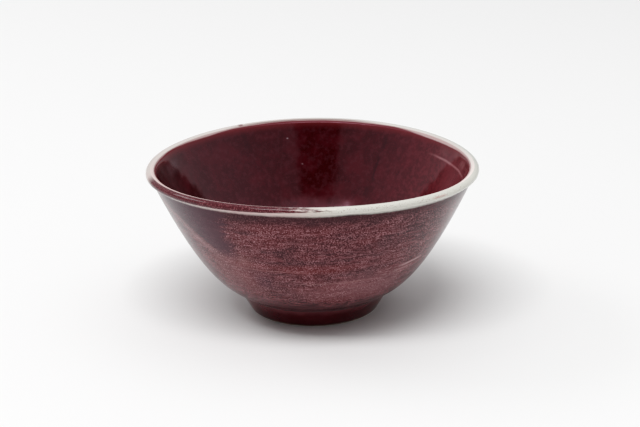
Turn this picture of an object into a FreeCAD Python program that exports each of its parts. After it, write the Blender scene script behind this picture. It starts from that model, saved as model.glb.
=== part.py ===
import FreeCAD, Part
import math
import os

# A wheel-thrown bowl with a rolled lip, standing on a small turned foot. Sizes are in millimetres.
# Every piece is a profile turned about the bowl's upright axis. The table is at height zero.
# Profiles are drawn in radius and height. Each outline of the bowl's skin runs from the foot up the
# outside, over the lip and down the inside, so the clay always lies on its left.

# The whole bowl, over the glaze
rim_radius = 77.5
rim_height = 71.6
glaze_thickness = 0.45

# The rolled lip
lip_crest_inset = 2.0       # the crest is this much nearer the axis than the widest point
lip_bulge_drop = 1.7        # the widest point is this far below the crest
lip_inner_round = 3.2       # radius of the lip's inner edge
liner_edge_drop = 0.5       # the inside coat ends this far below the crest
band_depth = 4.6            # the pale band ends this far below the crest
band_inset = 2.8            # where it ends, the wall is this much nearer the axis than the lip

# The wall and the floor
floor_clay = 5.5
floor_curve_reach = 35.0    # how far out the level floor pulls the inner curve
inner_wall_reach = 58.0     # how far down the straight upper wall pulls the inner curve
wall_pole_shares = ((0.115, 0.08), (0.41, 0.06))   # outer curve, from the foot's top to the band

# The foot
foot_pad_radius = 30.2
foot_top_radius = 35.6
foot_height = 9.3
pad_width = 4.3
pad_round = 0.6
recess_depth = 5.6
recess_draft = 0.8          # the recess is this much narrower at its ceiling than at the pad
recess_round = 1.5
bare_foot_height = 0.5      # clay left bare above the table, on the foot's outer side
bare_recess_height = 1.2    # and in the recess

# How far a curve's handles reach along it
quarter_turn_share = 0.5523
undercut_share = 0.45


def point(radius, height):
    return FreeCAD.Vector(radius, 0, height)


def direction(start, end):
    return (end - start).normalize()


def leftwards(heading):
    return point(-heading.z, heading.x)


def between(start, end, share):
    return start + (end - start) * share


def line(start, end):
    return Part.LineSegment(start, end).toShape()


def curve(*poles):
    bezier = Part.BezierCurve()
    bezier.setPoles(list(poles))
    return bezier.toShape()


def arc_about(centre, radius, start_angle, end_angle):
    # Angles are measured from straight up, towards the axis.
    ends = [centre + point(-math.sin(angle), math.cos(angle)) * radius
            for angle in (start_angle, (start_angle + end_angle) / 2, end_angle)]
    return Part.Arc(*ends).toShape()


def rounded_corner(before, corner, after, radius):
    # The arc that touches both sides of a corner, and where it leaves them.
    back = direction(corner, before)
    ahead = direction(corner, after)
    half_angle = back.getAngle(ahead) / 2
    reach = radius / math.tan(half_angle)
    start = corner + back * reach
    end = corner + ahead * reach
    centre = corner + (back + ahead).normalize() * (radius / math.sin(half_angle))
    middle = centre + direction(centre, corner) * radius
    return start, Part.Arc(start, middle, end).toShape(), end


def turned(edges):
    profile = Part.Face(Part.Wire(Part.__sortEdges__(edges)))
    return profile.revolve(FreeCAD.Vector(0, 0, 0), FreeCAD.Vector(0, 0, 1), 360)


# Named places on the skin. The depth is how far below the glazed surface they lie.

def foot_heading():
    return direction(point(foot_pad_radius, 0), point(foot_top_radius, foot_height))


def outer_wall_poles():
    start = point(foot_top_radius, foot_height)
    end = point(rim_radius - band_inset, rim_height - band_depth)
    handles = [point(start.x + (end.x - start.x) * radius_share,
                     start.z + (end.z - start.z) * height_share)
               for radius_share, height_share in wall_pole_shares]
    return start, handles[0], handles[1], end


def wall_top_heading():
    poles = outer_wall_poles()
    return direction(poles[2], poles[3])


def foot_crease(depth):
    # Where the foot meets the wall, at the same depth below both.
    poles = outer_wall_poles()
    foot_side = leftwards(foot_heading())
    wall_side = leftwards(direction(poles[0], poles[1]))
    return poles[0] + (foot_side + wall_side) * (depth / (1 + foot_side.dot(wall_side)))


def band_edge(depth):
    return outer_wall_poles()[3] + leftwards(wall_top_heading()) * depth


def outer_wall(depth):
    poles = outer_wall_poles()
    low_shift = leftwards(direction(poles[0], poles[1])) * depth
    high_shift = leftwards(wall_top_heading()) * depth
    return curve(foot_crease(depth), poles[1] + low_shift, poles[2] + high_shift, band_edge(depth))


def lip_outside(depth):
    bulge = point(rim_radius - depth, rim_height - lip_bulge_drop)
    crest = point(rim_radius - lip_crest_inset, rim_height - depth)
    start = band_edge(depth)
    handle = start.distanceToPoint(bulge) * undercut_share
    undercut = curve(start, start + wall_top_heading() * handle, bulge - point(0, handle), bulge)
    corner = point(bulge.x, crest.z)
    roll = curve(bulge, between(bulge, corner, quarter_turn_share),
                 between(crest, corner, quarter_turn_share), crest)
    return [undercut, roll]


def lip_centre():
    return point(rim_radius - lip_crest_inset, rim_height - lip_inner_round)


def liner_edge_angle():
    return math.acos(1 - liner_edge_drop / lip_inner_round)


def wall_top_angle():
    heading = wall_top_heading()
    return math.atan2(heading.z, heading.x)


def liner_edge(depth):
    edge_side = point(-math.sin(liner_edge_angle()), math.cos(liner_edge_angle()))
    return lip_centre() + edge_side * (lip_inner_round - depth)


def floor_height(depth):
    return recess_depth + floor_clay + glaze_thickness - depth


def lip_crest_arc(depth):
    return arc_about(lip_centre(), lip_inner_round - depth, 0, liner_edge_angle())


def liner_skin(depth):
    radius = lip_inner_round - depth
    inner_edge = arc_about(lip_centre(), radius, liner_edge_angle(), wall_top_angle())
    top = lip_centre() + leftwards(wall_top_heading()) * radius
    level = floor_height(depth)
    wall = curve(top, top - wall_top_heading() * inner_wall_reach,
                 point(floor_curve_reach, level), point(0, level))
    return [inner_edge, wall]


def foot_side_point(depth, height):
    # A point on the foot's sloping side, at a height above the table.
    crease = foot_crease(depth)
    slope = foot_heading()
    return crease - slope * ((crease.z - height) / slope.z)


def recess_side_point(depth, height):
    pad_inner_radius = foot_pad_radius - pad_width
    return point(pad_inner_radius - recess_draft * height / recess_depth - depth, height)


def recess_corner(depth):
    return recess_side_point(depth, recess_depth - depth)


def recess_rounding(depth):
    # The recess's upper corner, from its side to its ceiling.
    low = recess_side_point(depth, 0)
    axis = point(0, recess_depth - depth)
    return rounded_corner(low, recess_corner(depth), axis, recess_round - depth)


# The pieces

def clay_body():
    ceiling_end = recess_rounding(0)[2]
    axis_low = point(0, recess_depth)
    crease = foot_crease(glaze_thickness)
    edges = [line(axis_low, ceiling_end), line(ceiling_end, crease)]
    edges += [outer_wall(glaze_thickness)]
    edges += lip_outside(glaze_thickness)
    edges += [lip_crest_arc(glaze_thickness)]
    edges += liner_skin(glaze_thickness)
    edges += [line(point(0, floor_height(glaze_thickness)), axis_low)]
    return turned(edges)


def foot_ring():
    side_low, rounding, ceiling_end = recess_rounding(0)
    crease = foot_crease(glaze_thickness)
    outer_low = foot_side_point(glaze_thickness, 0)
    inner_low = recess_side_point(0, 0)
    outer_start, outer_arc, outer_end = rounded_corner(crease, outer_low, inner_low, pad_round)
    inner_start, inner_arc, inner_end = rounded_corner(outer_low, inner_low, side_low, pad_round)
    edges = [line(ceiling_end, crease), line(crease, outer_start), outer_arc]
    edges += [line(outer_end, inner_start), inner_arc, line(inner_end, side_low), rounding]
    return turned(edges)


def inside_glaze():
    edges = liner_skin(0) + liner_skin(glaze_thickness)
    edges += [line(liner_edge(0), liner_edge(glaze_thickness))]
    edges += [line(point(0, floor_height(0)), point(0, floor_height(glaze_thickness)))]
    return turned(edges)


def outside_glaze():
    edges = [outer_wall(0), outer_wall(glaze_thickness)]
    edges += [line(foot_crease(0), foot_crease(glaze_thickness))]
    edges += [line(band_edge(0), band_edge(glaze_thickness))]
    return turned(edges)


def rim_glaze():
    edges = lip_outside(0) + [lip_crest_arc(0)]
    edges += lip_outside(glaze_thickness) + [lip_crest_arc(glaze_thickness)]
    edges += [line(band_edge(0), band_edge(glaze_thickness))]
    edges += [line(liner_edge(0), liner_edge(glaze_thickness))]
    return turned(edges)


def foot_glaze():
    clay_end = foot_side_point(glaze_thickness, bare_foot_height)
    surface_end = foot_side_point(0, bare_foot_height) + foot_heading() * glaze_thickness
    edges = [line(foot_crease(0), foot_crease(glaze_thickness))]
    edges += [line(foot_crease(glaze_thickness), clay_end)]
    edges += [line(clay_end, surface_end), line(surface_end, foot_crease(0))]
    return turned(edges)


def foot_well_glaze():
    side_low, rounding, ceiling_end = recess_rounding(0)
    skin_low, skin_rounding, skin_ceiling_end = recess_rounding(glaze_thickness)
    clay_end = recess_side_point(0, bare_recess_height)
    surface_end = recess_side_point(glaze_thickness, bare_recess_height + glaze_thickness)
    axis_clay = point(0, recess_depth)
    axis_skin = point(0, recess_depth - glaze_thickness)
    edges = [line(clay_end, side_low), rounding, line(ceiling_end, axis_clay)]
    edges += [line(axis_clay, axis_skin), line(axis_skin, skin_ceiling_end), skin_rounding]
    edges += [line(skin_low, surface_end), line(surface_end, clay_end)]
    return turned(edges)


pieces = {
    "clay_body": clay_body,
    "foot_ring": foot_ring,
    "inside_glaze": inside_glaze,
    "outside_glaze": outside_glaze,
    "rim_glaze": rim_glaze,
    "foot_glaze": foot_glaze,
    "foot_well_glaze": foot_well_glaze,
}

os.makedirs("parts", exist_ok=True)
for name, make_piece in pieces.items():
    shape = make_piece()
    shape.exportStep(f"parts/{name}.step")
    box = shape.optimalBoundingBox()
    print(f"{name}: valid {shape.isValid()}, {shape.Volume:.0f} cubic mm, "
          f"radius {box.XMax:.2f}, height {box.ZMin:.2f} to {box.ZMax:.2f}")
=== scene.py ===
import bpy
import math
from mathutils import Matrix, Vector
from mathutils.geometry import interpolate_bezier


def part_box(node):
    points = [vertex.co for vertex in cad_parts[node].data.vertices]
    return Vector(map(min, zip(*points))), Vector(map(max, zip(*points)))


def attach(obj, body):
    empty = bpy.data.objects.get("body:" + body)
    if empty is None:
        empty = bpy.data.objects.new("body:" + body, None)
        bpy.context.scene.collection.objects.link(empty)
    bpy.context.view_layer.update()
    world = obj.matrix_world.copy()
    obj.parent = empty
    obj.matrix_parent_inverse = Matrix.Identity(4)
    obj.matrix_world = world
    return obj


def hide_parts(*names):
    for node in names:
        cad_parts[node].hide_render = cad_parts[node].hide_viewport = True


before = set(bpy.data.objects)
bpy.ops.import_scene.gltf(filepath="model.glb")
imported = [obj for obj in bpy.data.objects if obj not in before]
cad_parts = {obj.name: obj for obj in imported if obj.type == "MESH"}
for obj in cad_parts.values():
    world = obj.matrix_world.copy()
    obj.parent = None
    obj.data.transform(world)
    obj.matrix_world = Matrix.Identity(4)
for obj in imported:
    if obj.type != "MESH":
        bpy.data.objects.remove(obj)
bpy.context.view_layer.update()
mm = 0.001

# sizes read from the frame, in metres
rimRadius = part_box("rim_glaze")[1].x
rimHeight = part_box("rim_glaze")[1].z
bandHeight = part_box("rim_glaze")[0].z
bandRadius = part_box("outside_glaze")[1].x
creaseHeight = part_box("outside_glaze")[0].z
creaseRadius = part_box("foot_glaze")[1].x
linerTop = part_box("inside_glaze")[1].z
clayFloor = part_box("inside_glaze")[0].z
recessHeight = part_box("clay_body")[0].z
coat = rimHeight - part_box("clay_body")[1].z
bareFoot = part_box("foot_glaze")[0].z
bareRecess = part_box("foot_well_glaze")[0].z

# what the boxes don't tell
bowl = {
    "steps": 384,                 # faces round the bowl
    "smoothAngle": 35,
    "curvePoints": 300,           # where a curve is measured before it is stepped off
    "weld": 0.002 * mm,
    "samePoint": 0.001 * mm,
    "wanderPitches": 4.3,         # finger ridges from one drift of their pitch to the next
    "padRadius": 30.2 * mm,
    "padWidth": 4.3 * mm,
    "padRound": 0.6 * mm,
    "recessDraft": 0.8 * mm,
    "recessRound": 1.5 * mm,
    "crestInset": 2.0 * mm,
    "bulgeDrop": 1.7 * mm,
    "innerRound": 3.2 * mm,
    "floorReach": 35.0 * mm,
    "innerWallReach": 58.0 * mm,
    "lowHandle": (0.115, 0.08),
    "highHandle": (0.41, 0.06),
    "quarterTurn": 0.5523,
    "undercut": 0.45,
}


# Camera, where the photograph was taken from

cameraStand = {
    "back": 631.2 * mm, "height": 248.4 * mm,
    "down": 17.84, "right": 0.294, "roll": -0.831,
    "lens": 78.75, "sensor": 36, "nearest": 0.01, "farthest": 60,
}


def placeCamera():
    turn = Matrix.Rotation(math.radians(-cameraStand["right"]), 4, "Z")
    nod = Matrix.Rotation(math.radians(90 - cameraStand["down"]), 4, "X")
    roll = Matrix.Rotation(math.radians(cameraStand["roll"]), 4, "Z")
    bpy.ops.object.camera_add(
        location=(0, -cameraStand["back"], cameraStand["height"]),
        rotation=(turn @ nod @ roll).to_euler(),
    )
    camera = bpy.context.object
    camera.data.lens = cameraStand["lens"]
    camera.data.sensor_width = cameraStand["sensor"]
    camera.data.clip_start = cameraStand["nearest"]
    camera.data.clip_end = cameraStand["farthest"]
    camera.data.dof.use_dof = False
    bpy.context.scene.camera = camera


placeCamera()
print("camera placed")


# Outlines in radius and height. The clay is always on the left of the way they run.

def leftOf(heading):
    return Vector((-heading.y, heading.x))


def evenly(points, spacing):
    # points at even steps along a run, as close to the spacing as whole steps allow
    lengths = [0.0]
    for start, end in zip(points, points[1:]):
        lengths.append(lengths[-1] + (end - start).length)
    count = max(1, round(lengths[-1] / spacing))
    placed, at = [], 0
    for step in range(count + 1):
        target = lengths[-1] * step / count
        while at < len(points) - 2 and lengths[at + 1] < target:
            at += 1
        share = (target - lengths[at]) / max(lengths[at + 1] - lengths[at], 1e-12)
        placed.append(points[at].lerp(points[at + 1], min(share, 1)))
    return placed


def curveRun(poles, spacing):
    return evenly([Vector(p) for p in interpolate_bezier(*poles, bowl["curvePoints"])], spacing)


def arcRun(centre, radius, startAngle, endAngle, spacing):
    # angles from straight up, towards the axis
    count = max(2, round(abs(endAngle - startAngle) * radius / spacing))
    angles = [startAngle + (endAngle - startAngle) * step / count for step in range(count + 1)]
    return [centre + Vector((-math.sin(a), math.cos(a))) * radius for a in angles]


def joinRuns(*runs):
    # one run of several, without the points that they share
    joined = [runs[0][0]]
    for run in runs:
        for point in run:
            if (point - joined[-1]).length > bowl["samePoint"]:
                joined.append(point)
    return joined


def cornerRun(before, corner, after, radius, spacing):
    # a rounded corner between two straight stretches
    back, ahead = (before - corner).normalized(), (after - corner).normalized()
    half = back.angle(ahead) / 2
    centre = corner + (back + ahead).normalized() * (radius / math.sin(half))
    start = corner + back * (radius / math.tan(half))
    end = corner + ahead * (radius / math.tan(half))
    sweep = (start - centre).angle_signed(end - centre)
    count = max(3, round(abs(sweep) * radius / spacing))
    turns = [Matrix.Rotation(-sweep * step / count, 2) for step in range(count + 1)]
    return [centre + turn @ (start - centre) for turn in turns]


footHeading = Vector((creaseRadius - bowl["padRadius"], creaseHeight)).normalized()
crease = Vector((creaseRadius, creaseHeight))
bandEdge = Vector((bandRadius, bandHeight))
wallSpan = bandEdge - crease
wallLow = crease + wallSpan * Vector(bowl["lowHandle"])
wallHigh = crease + wallSpan * Vector(bowl["highHandle"])
wallStart = (wallLow - crease).normalized()
wallTop = (bandEdge - wallHigh).normalized()
crestRadius = rimRadius - bowl["crestInset"]
lipCentre = Vector((crestRadius, rimHeight - bowl["innerRound"]))
linerAngle = math.acos(1 - (rimHeight - linerTop) / bowl["innerRound"])
wallAngle = math.atan2(wallTop.y, wallTop.x)


def creaseAt(depth):
    # where the foot meets the wall, at a depth below both
    footSide, wallSide = leftOf(footHeading), leftOf(wallStart)
    return crease + (footSide + wallSide) * (depth / (1 + footSide.dot(wallSide)))


def outerWall(depth, spacing):
    low = wallLow + leftOf(wallStart) * depth
    high = wallHigh + leftOf(wallTop) * depth
    return curveRun((creaseAt(depth), low, high, bandEdge + leftOf(wallTop) * depth), spacing)


def lipOutside(depth, spacing):
    start = bandEdge + leftOf(wallTop) * depth
    bulge = Vector((rimRadius - depth, rimHeight - bowl["bulgeDrop"]))
    crest = Vector((lipCentre.x, rimHeight - depth))
    reach = (bulge - start).length * bowl["undercut"]
    corner = Vector((bulge.x, crest.y))
    tuck = curveRun((start, start + wallTop * reach, bulge - Vector((0, reach)), bulge), spacing)
    roll = curveRun((bulge, bulge.lerp(corner, bowl["quarterTurn"]),
                     crest.lerp(corner, bowl["quarterTurn"]), crest), spacing)
    return joinRuns(tuck, roll)


def lipCrest(depth, spacing):
    return arcRun(lipCentre, bowl["innerRound"] - depth, 0, linerAngle, spacing)


def insideWall(depth, spacing):
    radius = bowl["innerRound"] - depth
    level = clayFloor + coat - depth
    top = lipCentre + leftOf(wallTop) * radius
    shoulder = arcRun(lipCentre, radius, linerAngle, wallAngle, spacing)
    wall = curveRun((top, top - wallTop * bowl["innerWallReach"],
                     Vector((bowl["floorReach"], level)), Vector((0, level))), spacing)
    return joinRuns(shoulder, wall)


def footSide(depth, height):
    top = creaseAt(depth)
    return top - footHeading * ((top.y - height) / footHeading.y)


def recessSide(depth, height):
    narrowing = bowl["recessDraft"] * height / recessHeight
    return Vector((bowl["padRadius"] - bowl["padWidth"] - narrowing - depth, height))


def recessCorner(depth, spacing):
    level = recessHeight - depth
    return cornerRun(recessSide(depth, 0), recessSide(depth, level), Vector((0, level)),
                     bowl["recessRound"] - depth, spacing)


def wheelMarks(run, depth, pitch, wander):
    # shallow finger ridges, which fade out at both ends of the run
    lengths = [0.0]
    for start, end in zip(run, run[1:]):
        lengths.append(lengths[-1] + (end - start).length)
    marked = [run[0]]
    for at in range(1, len(run) - 1):
        along = lengths[at]
        fade = math.sin(math.pi * along / lengths[-1]) ** 0.5
        drift = wander * math.sin(2 * math.pi * along / (pitch * bowl["wanderPitches"]))
        swing = 2 * math.pi * along / pitch + drift
        heading = (run[at + 1] - run[at - 1]).normalized()
        marked.append(run[at] - leftOf(heading) * (depth * math.sin(swing) * fade))
    return marked + [run[-1]]


# Turning and finishing

def turnPiece(name, outline, closed):
    # the outline is drawn by extruding a point, then turned round the axis
    bpy.ops.object.select_all(action="DESELECT")
    start = Vector((outline[0].x, 0, outline[0].y))
    bpy.ops.mesh.primitive_plane_add(size=mm, location=start)
    piece = bpy.context.object
    piece.name = name
    bpy.ops.object.transform_apply(location=True)
    bpy.ops.object.mode_set(mode="EDIT")
    bpy.ops.mesh.merge(type="CENTER")
    ends = outline[1:] + outline[:1] if closed else outline[1:]
    for here, there in zip(outline, ends):
        step = (there.x - here.x, 0, there.y - here.y)
        bpy.ops.mesh.extrude_region_move(TRANSFORM_OT_translate={"value": step})
    bpy.ops.mesh.select_all(action="SELECT")
    bpy.ops.mesh.remove_doubles(threshold=bowl["weld"])
    bpy.ops.object.mode_set(mode="OBJECT")
    wheel = piece.modifiers.new("wheel", "SCREW")
    wheel.steps = wheel.render_steps = bowl["steps"]
    wheel.use_merge_vertices = True
    wheel.merge_threshold = bowl["weld"]
    bpy.ops.object.modifier_apply(modifier=wheel.name)
    bpy.ops.object.mode_set(mode="EDIT")
    bpy.ops.mesh.select_all(action="SELECT")
    bpy.ops.mesh.remove_doubles(threshold=bowl["weld"])
    bpy.ops.mesh.normals_make_consistent(inside=False)
    bpy.ops.object.mode_set(mode="OBJECT")
    bpy.ops.object.shade_smooth_by_angle(angle=math.radians(bowl["smoothAngle"]))
    return piece


# The kiln's warp bends every piece alike. The rim rises in front and behind and dips at its sides,
# leans a little and is slightly wider. It grips less and less further down, and not at all at the foot.

kilnWarp = {
    "riseAlong": 1.06 * mm, "dipAcross": 1.33 * mm, "twist": 0.15 * mm,    # at the rim's widest
    "leanRight": -0.0029, "leanBack": 0.0051,
    "widerAcross": 0.0025, "widerAlong": 0.0048,
    "grip": 2.0, "cells": 9, "layers": 7,
    "reach": 1.6,                 # the cage is so many times as large as the bowl
}


def warpRise(x, y):
    # how far the rim is lifted at a place, for numbers and for sockets alike
    rise = y * y * kilnWarp["riseAlong"] - x * x * kilnWarp["dipAcross"] + x * y * kilnWarp["twist"]
    rise = rise / rimRadius ** 2
    return rise + x * kilnWarp["leanRight"] + y * kilnWarp["leanBack"]


def makeWarp():
    bpy.ops.object.select_all(action="DESELECT")
    span = 2 * rimRadius * kilnWarp["reach"]
    tall = rimHeight * kilnWarp["reach"]
    bpy.ops.object.add(type="LATTICE", location=(0, 0, rimHeight / 2))
    cage = bpy.context.object
    cage.name = "kilnCage"
    cage.scale = (span, span, tall)
    cage.data.points_u = cage.data.points_v = kilnWarp["cells"]
    cage.data.points_w = kilnWarp["layers"]
    for way in ("u", "v", "w"):
        setattr(cage.data, "interpolation_type_" + way, "KEY_BSPLINE")
    for knot in cage.data.points:
        x, y = knot.co.x * span, knot.co.y * span
        height = max(0, knot.co.z * tall + rimHeight / 2)
        grip = (height / rimHeight) ** kilnWarp["grip"]
        across, along = x * kilnWarp["widerAcross"], y * kilnWarp["widerAlong"]
        shift = Vector((across * grip / span, along * grip / span, warpRise(x, y) * grip / tall))
        knot.co_deform = knot.co + shift
    return cage


def warpPiece(piece, cage):
    bpy.ops.object.select_all(action="DESELECT")
    piece.select_set(True)
    bpy.context.view_layer.objects.active = piece
    bend = piece.modifiers.new("kilnWarp", "LATTICE")
    bend.object = cage
    bpy.ops.object.modifier_apply(modifier=bend.name)


# Shader maths

class Shade:
    # one socket of a material, which adds nodes as it is used in an expression
    def __init__(self, tree, socket=None):
        self.tree = tree
        self.socket = socket

    def add(self, kind, settings=None, inputs=None, output=0):
        node = self.tree.nodes.new(kind)
        for name, value in (settings or {}).items():
            setattr(node, name, value)
        for name, value in (inputs or {}).items():
            if isinstance(value, Shade):
                self.tree.links.new(value.socket, node.inputs[name])
            else:
                node.inputs[name].default_value = value
        return Shade(self.tree, node.outputs[output])

    def maths(self, operation, first, second=0.0):
        return self.add("ShaderNodeMath", {"operation": operation}, {0: first, 1: second})

    def __add__(self, other):
        return self.maths("ADD", self, other)

    __radd__ = __add__

    def __mul__(self, other):
        return self.maths("MULTIPLY", self, other)

    __rmul__ = __mul__

    def __sub__(self, other):
        return self.maths("SUBTRACT", self, other)

    def __rsub__(self, other):
        return self.maths("SUBTRACT", other, self)

    def __truediv__(self, other):
        return self.maths("DIVIDE", self, other)

    def __pow__(self, other):
        return self.maths("POWER", self, other)

    def either(self, other):
        return self.maths("MAXIMUM", self, other)

    def between(self, low, high):
        # 0 at low, 1 at high, and smooth in between
        return self.add("ShaderNodeMapRange", {"interpolation_type": "SMOOTHSTEP"},
                        {"Value": self, "From Min": low, "From Max": high})

    def window(self, low, high, soft):
        # 1 from low to high, with soft edges
        return self.between(low - soft, low + soft) * (1 - self.between(high - soft, high + soft))

    def swing(self, reach):
        # a noise as a shift to both sides, so far from end to end
        return (self - 0.5) * reach

    def mix(self, first, second):
        # this value blends two colours
        return self.add("ShaderNodeMix", {"data_type": "RGBA"}, {0: self, 6: first, 7: second}, output=2)


def newMaterial(name, roughness, ior=1.5, tint=(1, 1, 1, 1)):
    material = bpy.data.materials.new(name)
    material.use_nodes = True
    shader = material.node_tree.nodes["Principled BSDF"]
    shader.inputs["Roughness"].default_value = roughness
    shader.inputs["IOR"].default_value = ior
    shader.inputs["Specular Tint"].default_value = tint
    return material, shader, Shade(material.node_tree)


def feed(shade, shader, **sockets):
    for name, value in sockets.items():
        shade.tree.links.new(value.socket, shader.inputs[name.replace("_", " ")])


def objectPlace(shade, stretch=(1, 1, 1)):
    place = shade.add("ShaderNodeTexCoord", output="Object")
    return shade.add("ShaderNodeMapping", {"vector_type": "POINT"}, {"Vector": place, "Scale": stretch})


def splitWay(shade, vector):
    # x, y and z of one node
    split = shade.add("ShaderNodeSeparateXYZ", None, {"Vector": vector})
    return [Shade(shade.tree, socket) for socket in split.socket.node.outputs]


def bowlLevel(shade):
    # the height in millimetres before the kiln's warp
    x, y, z = splitWay(shade, objectPlace(shade))
    grip = (z / rimHeight) ** kilnWarp["grip"]
    return (z - warpRise(x, y) * grip) / mm


countFromFront, countFromBack = -1.0, 1.0


def bowlTurn(shade, count):
    # degrees round the bowl, positive on the right
    x, y = splitWay(shade, objectPlace(shade))[:2]
    return shade.maths("ARCTAN2", x, y * count) * math.degrees(1)


def bowlRadius(shade):
    # millimetres from the bowl's axis
    x, y = splitWay(shade, objectPlace(shade))[:2]
    return ((x * x + y * y) ** 0.5) / mm


def noise(shade, place, perMetre, detail, roughness):
    return shade.add("ShaderNodeTexNoise", None, {
        "Vector": place, "Scale": perMetre, "Detail": detail, "Roughness": roughness})


def beads(shade, place, perMetre, core, rim):
    # round specks, 1 within the core and fading out to the rim, in shares of their spacing
    spacing = {"Vector": place, "Scale": perMetre, "Randomness": 1.0}
    return 1 - shade.add("ShaderNodeTexVoronoi", {"feature": "F1"}, spacing).between(core, rim)


def bump(shade, height, distance, strength):
    settings = {"Height": height, "Distance": distance, "Strength": strength}
    return shade.add("ShaderNodeBump", None, settings)


def stainCover(level, turn, mark):
    # 1 over a mark's span of turns and levels, which may drift by so many millimetres a degree
    drift = mark.get("drift", 0)
    middle = sum(mark["turn"]) / 2
    height = level - (turn - middle) * drift if drift else level
    softTurn, softLevel = mark["soft"]
    return turn.window(*mark["turn"], softTurn) * height.window(*mark["level"], softLevel)


def stain(colour, level, turn, mark):
    return (stainCover(level, turn, mark) * mark["strength"]).mix(colour, mark["colour"])


# In the glazes' dictionaries, levels are millimetres above the table, turns are degrees, and places
# across or further back are millimetres from the axis. A range named From fades in over its two
# numbers, and one named Until fades out. A window's third number is the softness of its two ends.
# A noise is given by its scale per metre, detail and roughness, and specks by their scale per metre,
# core and rim. Most of a noise lies between 0.3 and 0.7, so its thresholds do too.

# Rim: thin pale celadon, pinkish on the left, with a dark red strip where it ran thick

paleRim = {
    "roughness": 0.12, "ior": 1.32,
    "celadon": (0.63, 0.62, 0.56, 1), "pink": (0.56, 0.38, 0.37, 1),
    "leftUntil": (-18, 14), "leftSwing": 40,
    "cream": (0.58, 0.52, 0.49, 1), "creamFrom": (-45, -5), "creamCover": 0.9,
    # the darker celadon on the right, towards the back, is painted shade
    "shadedCeladon": (0.53, 0.53, 0.485, 1), "shadedCeladonFrom": (-30, 0), "behindFrom": (-35, 25),
    # the crest, which blends into the lip's outer shoulder a little to both sides: a pink glaze break with
    # a painted highlight, near white on the right front, and darkened by painted shade behind
    "crest": (0.80, 0.56, 0.54, 1), "rightCrestHighlight": (1.0, 0.83, 0.79, 1),
    "farCrestShaded": (0.62, 0.565, 0.535, 1), "crestCover": 0.85,
    "crestBlend": 0.22, "crestBottom": (70.2, 70.8),
    # the red strip climbs by so many millimetres a degree from the slope's start, and where it fades
    # out its lower and its upper edge draw in
    "strip": (0.060, 0.009, 0.014, 1), "stripSpeck": (0.225, 0.08, 0.09, 1),
    "stripStart": (-78, -68), "stripFade": (-32, 18), "stripEnd": (12, 22),
    "stripBottom": 68.4, "stripTop": (71.75, 72.15), "stripSlope": 0.018, "slopeStart": -60,
    "stripSoft": 0.2, "stripNarrows": (0.8, 1.5), "stripFull": 1.2, "dashReach": 1.6, "dashLift": 0.5,
    # the specks on the front's right, and the thin dark edge behind
    "speck": (0.20, 0.11, 0.09, 1), "speckCover": 0.75,
    "speckLevel": (69.6, 71.2, 0.3), "speckTurn": (2, 62, 8),
    "thinEdge": (0.09, 0.016, 0.018, 1), "thinEdgeCover": 0.9, "thinEdgeAcross": (-37, 28, 12),
    "thinEdgeIn": -1.6, "thinEdgeOut": 0.2,
    # the border with the wall: its hairs, its sway, and a stretch in front where it sits higher
    "wall": (0.026, 0.005, 0.008, 1), "border": (0.15, 1.85),
    "hairReach": 0.6, "swayReach": 0.5, "highTurn": (8, 16, 5), "highReach": 0.75,
    "hair": (800, 2, 0.6), "hairStretch": (1, 1, 0.25),
    "sway": (28, 2, 0.5), "swayStretch": (1, 1, 0),
    "cloud": (70, 4, 0.6), "fine": (1900, 2, 0.6),
    "dash": (1, 2, 0.6), "dashPerDegree": 0.35, "dashPerLevel": 2.6,
    "frontMarks": (
        {"turn": (42, 48), "level": (70.0, 70.7), "soft": (1.5, 0.3), "strength": 0.45,
         "colour": (0.45, 0.16, 0.15, 1)},
        {"turn": (-86, -70), "level": (68.2, 70.0), "soft": (4, 0.6), "strength": 0.6,
         "colour": (0.34, 0.27, 0.18, 1)},
    ),
    "spot": {"turn": (-30, -28.2), "level": (69.5, 72), "soft": (0.5, 0.2), "strength": 0.8,
             "colour": (0.16, 0.05, 0.06, 1)},
}


def thinGlaze(shade):
    # the pale glaze's colour, pinkish on the left, and a mask that is 1 on the left and 0 on the right
    look = paleRim
    cloud = noise(shade, objectPlace(shade), *look["cloud"])
    across = splitWay(shade, objectPlace(shade))[0] / mm
    left = 1 - (across + cloud.swing(look["leftSwing"])).between(*look["leftUntil"])
    pinkish = left * (0.6 + 0.5 * cloud.between(0.35, 0.65))
    return pinkish.mix(look["celadon"], look["pink"]), left


def paleBand(shade, level, turn):
    # 1 on the rim's pale glaze and 0 on the wall, with a brushed, feathery border
    look = paleRim
    hair = noise(shade, objectPlace(shade, look["hairStretch"]), *look["hair"])
    sway = noise(shade, objectPlace(shade, look["swayStretch"]), *look["sway"])
    edge = level + hair * look["hairReach"] + sway * look["swayReach"]
    edge = edge - turn.window(*look["highTurn"]) * look["highReach"]
    low, high = look["border"]
    return edge.between(bandHeight / mm + low, bandHeight / mm + high)


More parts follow.
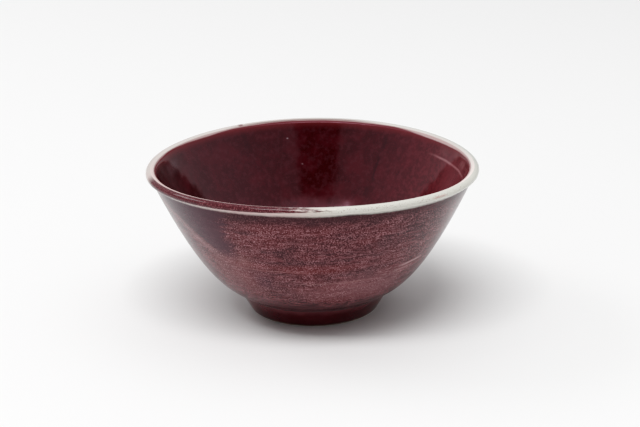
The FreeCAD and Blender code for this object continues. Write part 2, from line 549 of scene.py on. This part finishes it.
def rimGlaze():
    look = paleRim
    material, shader, shade = newMaterial("paleRimGlaze", look["roughness"], look["ior"])
    level, radius = bowlLevel(shade), bowlRadius(shade)
    turn, turnBehind = bowlTurn(shade, countFromFront), bowlTurn(shade, countFromBack)
    x, y = splitWay(shade, objectPlace(shade))[:2]
    fine = noise(shade, objectPlace(shade), *look["fine"])
    behind = (y / mm).between(*look["behindFrom"])
    colour, left = thinGlaze(shade)
    colour = (left * (y / mm).between(*look["creamFrom"]) * look["creamCover"]).mix(colour, look["cream"])
    # painted shade: a darker celadon on the right, towards the back
    colour = ((1 - left) * (y / mm).between(*look["shadedCeladonFrom"])).mix(colour, look["shadedCeladon"])

    # the strip lies on the lip's outer shoulder, and breaks up into dashes towards the front
    crest, blend = crestRadius / mm, look["crestBlend"]
    outer = radius.between(crest - blend, crest + blend).either(1 - level.between(*look["crestBottom"]))
    alongRim = {"X": turn * look["dashPerDegree"], "Y": level * look["dashPerLevel"]}
    dash = noise(shade, shade.add("ShaderNodeCombineXYZ", None, alongRim), *look["dash"])
    fade = turn.between(*look["stripFade"])
    cover = (look["stripFull"] - fade + dash.swing(look["dashReach"])).between(0.3, 0.7)
    cover = cover * turn.between(*look["stripStart"]) * (1 - turn.between(*look["stripEnd"]))
    height = level + dash.swing(look["dashLift"])
    below, above = look["stripNarrows"]
    bottom, soft = look["stripBottom"], look["stripSoft"]
    climb = (turn - look["slopeStart"]) * look["stripSlope"]
    strip = cover * (height - fade * below - climb).between(bottom - soft, bottom + soft)
    strip = strip * (1 - (height + fade.between(0.5, 1) * above).between(*look["stripTop"]))
    stripColour = fine.between(0.52, 0.68).mix(look["strip"], look["stripSpeck"])
    colour = (strip * outer).mix(colour, stripColour)
    dusty = fine.between(0.57, 0.67) * level.window(*look["speckLevel"]) * outer
    dusty = dusty * turn.window(*look["speckTurn"])
    colour = (dusty * look["speckCover"]).mix(colour, look["speck"])
    for mark in look["frontMarks"]:
        colour = stain(colour, level, turn, mark)

    # the crest with its painted highlight and painted shade, and the far rim's inner edge, where the
    # inside's red shows through
    crestColour = behind.mix(left.mix(look["rightCrestHighlight"], look["crest"]), look["farCrestShaded"])
    colour = ((1 - outer) * look["crestCover"]).mix(colour, crestColour)
    inward = 1 - radius.between(crest + look["thinEdgeIn"], crest + look["thinEdgeOut"])
    thinEdge = inward * behind * (x / mm).window(*look["thinEdgeAcross"]) * look["thinEdgeCover"]
    colour = thinEdge.mix(colour, look["thinEdge"])
    colour = stain(colour, level, turnBehind, look["spot"])
    colour = paleBand(shade, level, turn).mix(look["wall"], colour)
    feed(shade, shader, Base_Color=colour)
    return material


# Outside: dark copper red under a dense pale pink speckle

speckledRed = {
    "roughness": 0.22, "ior": 1.30, "tint": (1, 0.70, 0.78, 1),
    "dark": (0.026, 0.003, 0.006, 1), "red": (0.066, 0.006, 0.008, 1),
    "rose": (0.135, 0.042, 0.047, 1), "roseCover": 0.45, "streakiest": (22, 43, 5),
    # under the rim and above the foot
    "top": (0.028, 0.004, 0.007, 1), "topFrom": (60.5, 66), "topCover": 0.85, "topSparse": 0.75,
    "low": (0.055, 0.016, 0.020, 1), "lowUntil": (11, 19), "lowCover": 0.7, "lowSparse": 0.6,
    # the smoky patch: its slant starts at a level and a turn, and runs by so many degrees a millimetre
    "smoke": (0.046, 0.016, 0.026, 1), "smokeFrom": (40, 47), "smokeUntil": (-36, -28),
    "smokeCover": 0.9, "smokeSparse": 0.85, "smokeStart": (59.5, -60), "smokeSlant": 1.26,
    "streak": (0.27, 0.15, 0.16, 1), "streakFrom": (38, 46), "streakUntil": (-45, -38),
    "streakWidth": (-7, -1, 2.5), "streakCover": 0.38,
    "speck": (0.40, 0.195, 0.21, 1), "speckCover": 0.95, "grainShare": 0.5, "threadShare": 0.55,
    "cloud": (60, 4, 0.62), "brushed": (170, 4, 0.6), "fineStreak": (900, 3, 0.6),
    "grain": (2600, 2, 0.65), "patchy": (900, 3, 0.6), "threads": (1500, 2, 0.6),
    "specks": (1800, 0.24, 0.54),
    # how much the noises are drawn out round the wall
    "brushStretch": (0.10, 0.10, 1), "speckStretch": (0.8, 0.8, 1), "patchStretch": (0.22, 0.22, 1),
    # how far the marks wander
    "turnSwing": 14, "levelSwing": 2.5, "lineSwing": 1.5, "topSwing": 6, "slantSwing": 6,
    "smokeSwing": 8, "smokePatches": 16, "slantSoft": 3,
    "marks": (
        {"turn": (-20, 16), "level": (37, 41.5), "soft": (9, 1.2), "strength": 0.5,
         "colour": (0.105, 0.010, 0.010, 1)},
        {"turn": (-50, -26), "level": (24, 43), "soft": (8, 5), "strength": 0.45,
         "colour": (0.17, 0.058, 0.060, 1)},
        {"turn": (-33, -25), "level": (39, 45), "soft": (4, 2.5), "strength": 0.3,
         "colour": (0.17, 0.070, 0.060, 1)},
        {"turn": (12, 46), "level": (20, 33), "soft": (10, 5), "strength": 0.6,
         "colour": (0.20, 0.085, 0.092, 1)},
        {"turn": (-10, 10), "level": (20, 28), "soft": (8, 3), "strength": 0.35,
         "colour": (0.18, 0.07, 0.075, 1)},
        {"turn": (-27, -19), "level": (27, 35), "soft": (4, 3), "strength": 0.55,
         "colour": (0.028, 0.006, 0.016, 1)},
        {"turn": (18, 46), "level": (29, 30), "soft": (6, 0.5), "strength": 0.5,
         "colour": (0.028, 0.004, 0.007, 1)},
    ),
    "paleLinesAndHighlights": (
        {"turn": (-38, -2), "level": (37.3, 37.6), "soft": (6, 0.25), "strength": 0.55,
         "colour": (0.34, 0.14, 0.135, 1)},
        {"turn": (-6, 22), "level": (30.6, 31.0), "soft": (5, 0.3), "strength": 0.5,
         "colour": (0.34, 0.16, 0.155, 1)},
        {"turn": (39, 51), "level": (31.0, 31.4), "soft": (3, 0.3), "strength": 0.4,
         "colour": (0.34, 0.18, 0.175, 1)},
        # the next two bright slanting lines are painted highlights on the wall's right side
        {"turn": (42, 54), "level": (35.0, 36.0), "soft": (3, 0.7), "strength": 0.5, "drift": 0.10,
         "colour": (0.62, 0.42, 0.42, 1)},
        {"turn": (37, 49), "level": (32.6, 33.3), "soft": (3, 0.4), "strength": 0.4, "drift": 0.10,
         "colour": (0.42, 0.25, 0.25, 1)},
    ),
    "bumpDistance": 0.05 * mm, "bumpStrength": 0.2,
}


def speckledGlaze():
    look = speckledRed
    material, shader, shade = newMaterial("speckledRedGlaze", look["roughness"], look["ior"], look["tint"])
    level, turn = bowlLevel(shade), bowlTurn(shade, countFromFront)
    flat = objectPlace(shade, look["brushStretch"])
    cloud = noise(shade, objectPlace(shade), *look["cloud"])
    brushed = noise(shade, flat, *look["brushed"])
    fineStreak = noise(shade, flat, *look["fineStreak"])
    colour = (cloud * 0.5 + brushed * 0.5).between(0.38, 0.62).mix(look["dark"], look["red"])
    colour = (brushed.between(0.55, 0.70) * look["roseCover"]).mix(colour, look["rose"])
    streaks = fineStreak.between(0.52, 0.66) * (0.5 + 0.4 * level.window(*look["streakiest"]))
    colour = streaks.mix(colour, look["rose"])
    wobbleTurn = turn + cloud.swing(look["turnSwing"])
    wobbleLevel = level + brushed.swing(look["levelSwing"])
    for mark in look["marks"]:
        colour = stain(colour, wobbleLevel, wobbleTurn, mark)
    # the pale lines, and the two painted highlights
    for line in look["paleLinesAndHighlights"]:
        colour = stain(colour, level + cloud.swing(look["lineSwing"]), wobbleTurn, line)

    # the smoky patch on the left, with a slanting streak along one side and specks along the other
    speckPlace = objectPlace(shade, look["speckStretch"])
    fine = noise(shade, speckPlace, *look["grain"])
    patchy = noise(shade, objectPlace(shade, look["patchStretch"]), *look["patchy"])
    startLevel, startTurn = look["smokeStart"]
    slant = turn + (level - startLevel) * look["smokeSlant"] - startTurn + cloud.swing(look["slantSwing"])
    smoke = slant.between(-look["slantSoft"], look["slantSoft"]) * level.between(*look["smokeFrom"])
    ragged = turn + cloud.swing(look["smokeSwing"]) + patchy.swing(look["smokePatches"])
    smoke = smoke * (1 - ragged.between(*look["smokeUntil"]))
    streakEdge = slant.window(*look["streakWidth"]) * level.between(*look["streakFrom"])
    streakEdge = streakEdge * (1 - turn.between(*look["streakUntil"]))
    top = (level + brushed.swing(look["topSwing"])).between(*look["topFrom"])
    low = 1 - level.between(*look["lowUntil"])

    # the speckle: round specks, grain and short threads, sparse in those three places
    density = (1 - smoke * look["smokeSparse"]) * (1 - top * look["topSparse"])
    density = density * (1 - low * look["lowSparse"]) * (0.7 + 0.4 * cloud.between(0.3, 0.7))
    speck = beads(shade, speckPlace, *look["specks"]) * (0.25 + 0.65 * patchy.between(0.36, 0.62))
    threads = noise(shade, flat, *look["threads"]).between(0.58, 0.72)
    speck = speck.either(fine.between(0.56, 0.70) * look["grainShare"])
    speck = speck.either(threads * look["threadShare"]) * density
    layers = {"top": top, "low": low, "smoke": smoke, "streak": streakEdge, "speck": speck}
    for name, cover in layers.items():
        colour = (cover * look[name + "Cover"]).mix(colour, look[name])
    colour = paleBand(shade, level, turn).mix(colour, thinGlaze(shade)[0])
    grainBump = bump(shade, fine, look["bumpDistance"], look["bumpStrength"])
    feed(shade, shader, Base_Color=colour, Normal=grainBump)
    return material


# Inside: smooth deep oxblood

insideRed = {
    "roughness": 0.10, "edgeRoughness": 0.85, "dullFrom": (69.9, 70.5),
    "ior": 1.6, "tint": (1, 0.60, 0.74, 1),
    "deep": (0.034, 0.0006, 0.0014, 1), "brown": (0.058, 0.003, 0.006, 1),
    "mauve": (0.075, 0.016, 0.022, 1), "mauveCover": 0.38,
    # the brighter red on the right inner wall is painted light, as if a lamp on the left fell on it
    "bright": (0.115, 0.014, 0.020, 1), "paintedLightTurn": (50, 145, 30),
    "edge": (0.115, 0.012, 0.015, 1), "edgeFrom": (66.5, 70.2), "edgeCover": 0.8,
    # the pale edge reaches lower at the sides: from where to where across, and by how much
    "pale": (0.44, 0.31, 0.30, 1), "paleFrom": (70.5, 71.15),
    "paleRight": (52, 72, 10), "rightReach": 0.95, "paleLeft": (-60, -46, 8), "leftReach": 0.55,
    "cloud": (90, 4, 0.62), "mottle": (420, 3, 0.6), "waves": (110, 1, 0.5),
    "sway": (30, 2, 0.5), "swayStretch": (1, 1, 0),
    "streaky": (110, 2, 0.5), "streakyStretch": (1, 1, 0.3),
    "turnSwing": 8, "markSwing": 0.8, "edgeSwing": 1.2,
    "marks": (
        {"turn": (70, 104), "level": (50, 66), "soft": (8, 6), "strength": 0.6,
         "colour": (0.17, 0.04, 0.05, 1)},
        {"turn": (60, 92), "level": (63.1, 63.85), "soft": (6, 0.5), "strength": 0.42,
         "colour": (0.55, 0.27, 0.28, 1)},
        {"turn": (30.7, 32.3), "level": (60, 66), "soft": (0.8, 1.5), "strength": 0.7,
         "colour": (0.020, 0.0006, 0.001, 1)},
        {"turn": (29.3, 30.5), "level": (45, 57), "soft": (0.6, 2), "strength": 0.7,
         "colour": (0.020, 0.0006, 0.001, 1)},
        {"turn": (26.4, 28.2), "level": (38, 42), "soft": (0.8, 1), "strength": 0.5,
         "colour": (0.020, 0.0006, 0.001, 1)},
        {"turn": (-30.5, -28), "level": (60, 71), "soft": (1, 2), "strength": 0.55,
         "colour": (0.022, 0.0006, 0.001, 1)},
        # a painted reflection: a greyish patch high on the left inner wall
        {"turn": (-79, -70), "level": (61.5, 66.5), "soft": (2.5, 1.5), "strength": 0.35,
         "colour": (0.12, 0.07, 0.08, 1)},
    ),
    "pinholes": (
        {"turn": (-10.8, -10.1), "level": (62.9, 63.5), "soft": (0.3, 0.2), "strength": 0.45,
         "colour": (0.42, 0.34, 0.38, 1)},
        {"turn": (-4.9, -4.3), "level": (50.9, 51.4), "soft": (0.3, 0.2), "strength": 0.35,
         "colour": (0.40, 0.28, 0.32, 1)},
    ),
    "blush": {"turn": (66, 104), "level": (65, 69.5), "soft": (9, 1.5), "strength": 0.4,
              "colour": (0.36, 0.15, 0.155, 1)},
    "bumpDistance": 0.35 * mm, "bumpStrength": 0.5, "bumpCloud": 0.12,
}


def insideGlaze():
    look = insideRed
    material, shader, shade = newMaterial("insideRedGlaze", look["roughness"], look["ior"], look["tint"])
    level, turn = bowlLevel(shade), bowlTurn(shade, countFromBack)
    place = objectPlace(shade)
    cloud = noise(shade, place, *look["cloud"])
    mottle = noise(shade, place, *look["mottle"])
    sway = noise(shade, objectPlace(shade, look["swayStretch"]), *look["sway"])
    waves = noise(shade, place, *look["waves"])
    colour = cloud.between(0.38, 0.68).mix(look["deep"], look["brown"])
    colour = (mottle.between(0.46, 0.66) * look["mauveCover"]).mix(colour, look["mauve"])
    wobble = turn + cloud.swing(look["turnSwing"])
    # painted light: the right inner wall is brighter
    bright = wobble.window(*look["paintedLightTurn"]) * (0.35 + 0.45 * mottle.between(0.4, 0.6))
    colour = bright.mix(colour, look["bright"])
    for mark in look["marks"]:
        colour = stain(colour, level + cloud.swing(look["markSwing"]), wobble, mark)
    for pinhole in look["pinholes"]:
        colour = stain(colour, level, turn, pinhole)
    streaky = noise(shade, objectPlace(shade, look["streakyStretch"]), *look["streaky"])
    blush = look["blush"]
    cover = stainCover(level, wobble, blush) * streaky.between(0.35, 0.65) * blush["strength"]
    colour = cover.mix(colour, blush["colour"])
    edgeLevel = level + sway.swing(look["edgeSwing"])
    colour = (edgeLevel.between(*look["edgeFrom"]) * look["edgeCover"]).mix(colour, look["edge"])
    across = splitWay(shade, place)[0] / mm
    lower = across.window(*look["paleRight"]) * look["rightReach"]
    lower = lower + across.window(*look["paleLeft"]) * look["leftReach"]
    colour = (edgeLevel + lower).between(*look["paleFrom"]).mix(colour, look["pale"])
    dull = level.between(*look["dullFrom"]) * (look["edgeRoughness"] - look["roughness"])
    ripple = bump(shade, waves + cloud * look["bumpCloud"], look["bumpDistance"], look["bumpStrength"])
    feed(shade, shader, Base_Color=colour, Roughness=look["roughness"] + dull, Normal=ripple)
    return material


# Foot: almost black, and lighter just under the wall, where a reflection is painted

footDark = {
    "roughness": 0.14, "ior": 1.38, "tint": (1, 0.4, 0.5, 1),
    "deep": (0.060, 0.0006, 0.003, 1), "brown": (0.085, 0.006, 0.010, 1),
    # top is a painted reflection: the band under the wall is lighter and greyer
    "top": (0.15, 0.045, 0.052, 1), "topFrom": (6.0, 10.5), "topCover": 0.8, "topSwing": 2,
    "speckCover": 0.2, "cloud": (150, 4, 0.6), "fine": (1500, 2, 0.6),
}


def footGlaze():
    look = footDark
    material, shader, shade = newMaterial("darkFootGlaze", look["roughness"], look["ior"], look["tint"])
    level, place = bowlLevel(shade), objectPlace(shade)
    cloud = noise(shade, place, *look["cloud"])
    fine = noise(shade, place, *look["fine"])
    colour = cloud.between(0.4, 0.7).mix(look["deep"], look["brown"])
    # painted reflection: lighter just under the wall
    top = (level + cloud.swing(look["topSwing"])).between(*look["topFrom"])
    colour = (top * look["topCover"]).mix(colour, look["top"])
    colour = (fine.between(0.60, 0.75) * look["speckCover"]).mix(colour, look["top"])
    feed(shade, shader, Base_Color=colour)
    return material


# Recess under the floor: dark red with some speckle, and pale where it thins out above the bare clay

wellDark = {
    "roughness": 0.16, "deep": (0.028, 0.0018, 0.003, 1), "speckCover": 0.6,
    "pale": (0.40, 0.28, 0.25, 1), "paleCover": 0.8, "paleUntil": (0.3, 1.5), "paleSwing": 1.5,
    "cloud": (110, 4, 0.6), "fine": (1500, 2, 0.6),
}


def wellGlaze():
    look = wellDark
    material, shader, shade = newMaterial("footWellGlaze", look["roughness"])
    level, place = bowlLevel(shade), objectPlace(shade)
    cloud = noise(shade, place, *look["cloud"])
    fine = noise(shade, place, *look["fine"])
    colour = cloud.between(0.35, 0.7).mix(look["deep"], speckledRed["red"])
    specks = fine.between(0.55, 0.7) * cloud.between(0.4, 0.6) * look["speckCover"]
    colour = specks.mix(colour, speckledRed["speck"])
    low, high = look["paleUntil"]
    thin = level + cloud.swing(look["paleSwing"])
    thin = 1 - thin.between(bareRecess / mm + low, bareRecess / mm + high)
    feed(shade, shader, Base_Color=(thin * look["paleCover"]).mix(colour, look["pale"]))
    return material


# Bare clay: pale, toasted in places, and darkened where the glaze ends at the foot's outer side, by a
# glaze stain and painted contact shade

bareClay = {
    "roughness": 0.75, "light": (0.56, 0.49, 0.41, 1), "toasted": (0.38, 0.27, 0.19, 1),
    # the darkened outer edge of the pad is a glaze stain with painted contact shade
    "sandCover": 0.3, "stainAndShade": (0.20, 0.08, 0.06, 1), "stainAndShadeCover": 0.7,
    "stainAndShadeFrom": (-0.9, 0.1), "stainAndShadeSwing": 1.2,
    "cloud": (200, 5, 0.65), "sand": (2500, 2, 0.6), "bumpDistance": 0.08 * mm, "bumpStrength": 0.6,
}


def clayMaterial():
    look = bareClay
    material, shader, shade = newMaterial("bareClay", look["roughness"])
    place = objectPlace(shade)
    cloud = noise(shade, place, *look["cloud"])
    sand = noise(shade, place, *look["sand"])
    colour = cloud.between(0.35, 0.7).mix(look["light"], look["toasted"])
    # a glaze stain and painted contact shade darken the pad's outer edge
    low, high = look["stainAndShadeFrom"]
    stainAndShadeFringe = bowlRadius(shade) + cloud.swing(look["stainAndShadeSwing"])
    stainAndShadeFringe = stainAndShadeFringe.between(bowl["padRadius"] / mm + low, bowl["padRadius"] / mm + high)
    colour = (stainAndShadeFringe * look["stainAndShadeCover"]).mix(colour, look["stainAndShade"])
    colour = (sand.between(0.62, 0.72) * look["sandCover"]).mix(colour, look["toasted"])
    grain = bump(shade, sand, look["bumpDistance"], look["bumpStrength"])
    feed(shade, shader, Base_Color=colour, Normal=grain)
    return material


# The pieces

def addPiece(name, outline, closed, node, material, cage):
    piece = turnPiece(name, outline, closed)
    warpPiece(piece, cage)
    piece.data.materials.clear()
    piece.data.materials.append(material)
    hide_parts(node)
    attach(piece, "root")
    print(name, "turned,", len(piece.data.polygons), "faces")


# how far apart the points of the outlines lie, and the ridges of the potter's fingers
thrownClay = {"wall": 3 * mm, "lip": 0.6 * mm}
footRing = {"sides": 0.6 * mm, "recess": 0.3 * mm, "padRounds": 0.2 * mm}
outsideCoat = {"shown": 0.7 * mm, "hidden": 5 * mm, "ridges": (0.015 * mm, 5.2 * mm, 1.7)}
insideCoat = {"shown": 0.8 * mm, "hidden": 3 * mm, "ridges": (0.012 * mm, 8.5 * mm, 1.3)}
rimCoat = {"shown": 0.25 * mm, "hidden": 0.6 * mm}
footCoat = {"shown": 0.4 * mm, "hidden": 2 * mm}
footWellCoat = {"corner": 0.3 * mm, "side": 0.5 * mm, "ceiling": 0.8 * mm,
                "hiddenSide": 2 * mm, "hiddenCeiling": 4 * mm}


def clayOutline():
    wall, lip = thrownClay["wall"], thrownClay["lip"]
    underside = [Vector((0, recessHeight)), recessCorner(0, wall)[-1], creaseAt(coat)]
    return joinRuns(underside, outerWall(coat, wall), lipOutside(coat, lip),
                    lipCrest(coat, lip), insideWall(coat, wall))


def footOutline():
    sides, rounds = footRing["sides"], footRing["padRounds"]
    corner = recessCorner(0, footRing["recess"])
    outerLow, innerLow = footSide(coat, 0), recessSide(0, 0)
    outerRound = cornerRun(creaseAt(coat), outerLow, innerLow, bowl["padRound"], rounds)
    innerRound = cornerRun(outerLow, innerLow, corner[0], bowl["padRound"], rounds)
    return joinRuns(evenly([creaseAt(coat), outerRound[0]], sides), outerRound,
                    evenly([outerRound[-1], innerRound[0]], sides), innerRound,
                    evenly([innerRound[-1], corner[0]], sides), corner,
                    evenly([corner[-1], creaseAt(coat)], sides))[:-1]


def outsideOutline():
    shown = wheelMarks(outerWall(0, outsideCoat["shown"]), *outsideCoat["ridges"])
    return joinRuns(shown, outerWall(coat, outsideCoat["hidden"])[::-1])


def insideOutline():
    shown = wheelMarks(insideWall(0, insideCoat["shown"]), *insideCoat["ridges"])
    return joinRuns(shown[::-1], insideWall(coat, insideCoat["hidden"]))


def rimOutline():
    fine, coarse = rimCoat["shown"], rimCoat["hidden"]
    shown = joinRuns(lipOutside(0, fine), lipCrest(0, fine))
    hidden = joinRuns(lipOutside(coat, coarse), lipCrest(coat, coarse))
    return joinRuns(shown, hidden[::-1])


def footCoatOutline():
    surfaceEnd = footSide(0, bareFoot) + footHeading * coat
    shown = evenly([surfaceEnd, creaseAt(0)], footCoat["shown"])
    hidden = evenly([creaseAt(coat), footSide(coat, bareFoot)], footCoat["hidden"])
    return joinRuns(shown, hidden)


def wellOutline():
    sizes = footWellCoat
    clayCorner, skinCorner = recessCorner(0, sizes["corner"]), recessCorner(coat, sizes["corner"])
    clayLow, skinLow = recessSide(0, bareRecess), recessSide(coat, bareRecess + coat)
    clayMiddle, skinMiddle = Vector((0, recessHeight)), Vector((0, recessHeight - coat))
    shown = joinRuns(evenly([skinLow, skinCorner[0]], sizes["side"]), skinCorner,
                     evenly([skinCorner[-1], skinMiddle], sizes["ceiling"]))
    hidden = joinRuns(evenly([clayLow, clayCorner[0]], sizes["hiddenSide"]), clayCorner,
                      evenly([clayCorner[-1], clayMiddle], sizes["hiddenCeiling"]))
    return joinRuns(shown[::-1], hidden)


cage = makeWarp()
clay = clayMaterial()
addPiece("thrownClay", clayOutline(), False, "clay_body", clay, cage)
addPiece("footRing", footOutline(), True, "foot_ring", clay, cage)
addPiece("insideCoat", insideOutline(), False, "inside_glaze", insideGlaze(), cage)
addPiece("outsideCoat", outsideOutline(), True, "outside_glaze",
         speckledGlaze(), cage)
addPiece("rimCoat", rimOutline(), True, "rim_glaze", rimGlaze(), cage)
addPiece("footCoat", footCoatOutline(), True, "foot_glaze", footGlaze(), cage)
addPiece("footWellCoat", wellOutline(), False, "foot_well_glaze", wellGlaze(), cage)
bpy.data.objects.remove(cage)


# Floor and light

studio = {
    "floorSize": 24.0, "floorCells": 8, "floorColour": (0.86, 0.86, 0.86, 1),
    "floorRoughness": 0.9, "floorGloss": 0.1,
    # the sky as the camera sees it, and the ceiling and the low room that light the bowl
    "skyColour": (1, 1, 1, 1), "seen": 0.93, "high": 0.92, "highFrom": (0.73, 0.88),
    "low": (0.24, 0.42, 0.36), "nearToSide": (20, 85), "sideToFar": (100, 150), "gap": (-24, 14, 3),
    # how the film answers to light, from dark to bright
    "tone": ((0.04, 0.042), (0.10, 0.13), (0.20, 0.27), (0.32, 0.41), (0.50, 0.60), (0.75, 0.81)),
}

# both face straight down, and glow is how bright they look
softboxes = [
    {"name": "overheadStrip", "at": (-0.70, -1.80, 4.26), "size": (3.7, 0.94), "glow": 13.4},
    {"name": "leftFill", "at": (-1.98, 1.0, 1.8), "size": (1.0, 1.4), "glow": 3.4},
]


def layFloor():
    bpy.ops.object.select_all(action="DESELECT")
    cells = studio["floorCells"]
    bpy.ops.mesh.primitive_grid_add(x_subdivisions=cells, y_subdivisions=cells, size=studio["floorSize"])
    floor = bpy.context.object
    floor.name = "paleFloor"
    material, shader = newMaterial("palePaper", studio["floorRoughness"])[:2]
    shader.inputs["Base Color"].default_value = studio["floorColour"]
    shader.inputs["Specular IOR Level"].default_value = studio["floorGloss"]
    floor.data.materials.append(material)


def hangSoftbox(box):
    bpy.ops.object.light_add(type="AREA", location=box["at"])
    light = bpy.context.object
    light.name = box["name"]
    light.data.shape = "RECTANGLE"
    light.data.size, light.data.size_y = box["size"]
    light.data.energy = math.pi * box["size"][0] * box["size"][1] * box["glow"]
    light.visible_camera = False


def lightWorld():
    # a dim room below, with a gap where the camera stands, and a brighter ceiling
    world = bpy.data.worlds.new("paleStudio")
    bpy.context.scene.world = world
    world.use_nodes = True
    shade = Shade(world.node_tree)
    back = world.node_tree.nodes["Background"]
    back.inputs["Color"].default_value = studio["skyColour"]
    x, y, z = splitWay(shade, shade.add("ShaderNodeTexCoord", output="Generated"))
    turn = shade.maths("ARCTAN2", x, y * countFromFront) * math.degrees(1)
    aside = shade.maths("ABSOLUTE", turn)
    near, side, far = studio["low"]
    glow = near + aside.between(*studio["nearToSide"]) * (side - near)
    glow = glow + aside.between(*studio["sideToFar"]) * (far - side)
    glow = glow * (1 - turn.window(*studio["gap"]))
    ceiling = z.between(*studio["highFrom"])
    glow = glow * (1 - ceiling) + ceiling * studio["high"]
    seen = shade.add("ShaderNodeLightPath", output="Is Camera Ray")
    strength = seen * studio["seen"] + (1 - seen) * glow
    world.node_tree.links.new(strength.socket, back.inputs["Strength"])


def setTone():
    view = bpy.context.scene.view_settings
    view.view_transform = "Standard"
    view.use_curve_mapping = True
    combined = view.curve_mapping.curves[3]
    for dark, bright in studio["tone"]:
        combined.points.new(dark, bright)
    view.curve_mapping.update()


layFloor()
for box in softboxes:
    hangSoftbox(box)
lightWorld()
setTone()
print("floor and lights placed")
